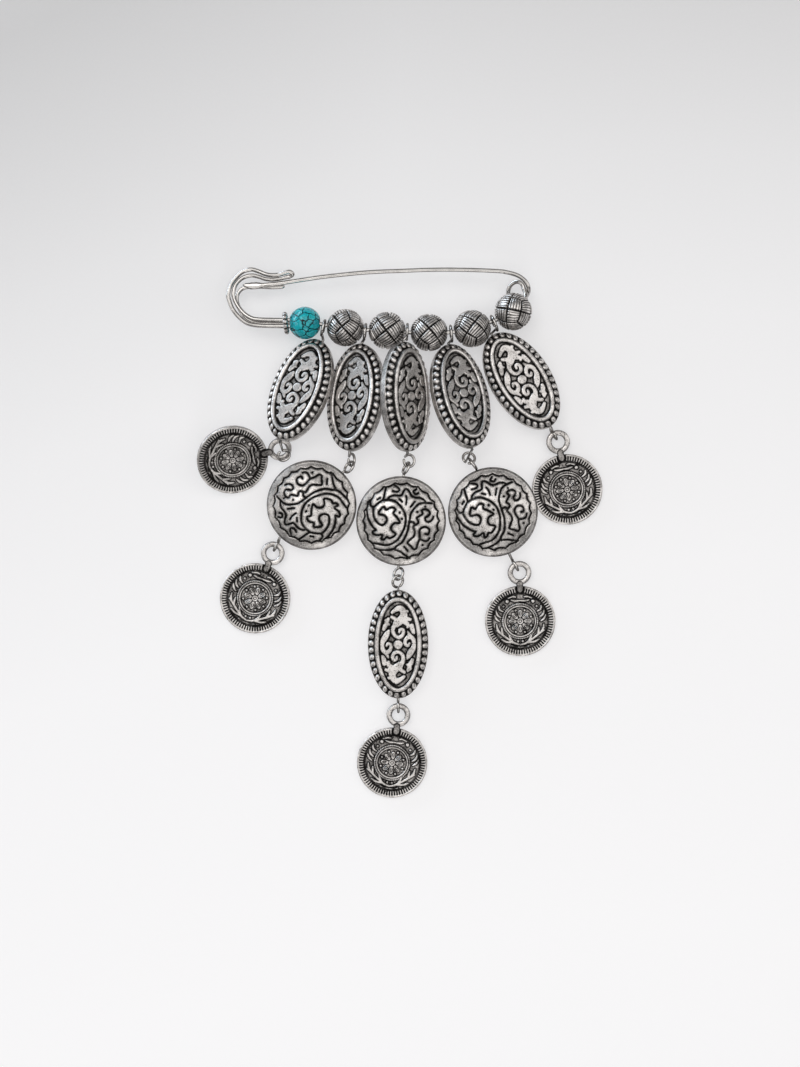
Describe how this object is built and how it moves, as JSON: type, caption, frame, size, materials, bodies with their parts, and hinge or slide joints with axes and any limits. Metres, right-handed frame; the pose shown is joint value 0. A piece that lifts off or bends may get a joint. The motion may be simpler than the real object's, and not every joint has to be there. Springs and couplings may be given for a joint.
{
  "type": "silver brooch",
  "caption": "Kilt pin brooch with beads along its bar and hanging oval, disc and coin-shaped drops, lying flat.",
  "frame": {"origin": "on the surface the brooch lies on, under the middle of its bounding box", "axes": "+X to the right along the pin, from the catch to the spring coil; +Y up, from the lowest drop to the pin; +Z up from the surface to the face that is seen"},
  "size_m": [0.122, 0.1596, 0.0156],
  "materials": {
    "silver_wire": "bright silver-plated wire with fine scratches",
    "antique_silver": "cast and silver-plated, darkened in the hollows, rubbed bright on the relief",
    "turquoise": "polished stone with dark brown veins"
  },
  "bodies": {
    "frame": {"pin_frame": "silver_wire", "spacer": "silver_wire", "turquoise_bead": "turquoise", "woven_bead_1": "antique_silver", "woven_bead_2": "antique_silver", "woven_bead_3": "antique_silver", "woven_bead_4": "antique_silver", "woven_bead_5": "antique_silver", "oval_1": "antique_silver", "oval_2": "antique_silver", "oval_3": "antique_silver", "oval_4": "antique_silver", "oval_5": "antique_silver", "oval_6": "antique_silver", "disc_1": "antique_silver", "disc_2": "antique_silver", "disc_3": "antique_silver", "coin_1": "antique_silver", "coin_2": "antique_silver", "coin_3": "antique_silver", "coin_4": "antique_silver", "coin_5": "antique_silver", "eye_pin_1": "silver_wire", "eye_pin_2": "silver_wire", "eye_pin_3": "silver_wire", "eye_pin_4": "silver_wire", "eye_pin_5": "silver_wire", "eye_pin_6": "silver_wire", "eye_pin_7": "silver_wire", "eye_pin_8": "silver_wire", "eye_pin_9": "silver_wire"},
    "stem": {"pin_stem": "silver_wire"}
  },
  "joints": [
    {"name": "stem_spring", "type": "hinge", "parent": "frame", "child": "stem", "pos_m": [0.0315, 0.0783, 0.00565], "axis": [0, 1, 0], "range_deg": [0, 18]}
  ]
}
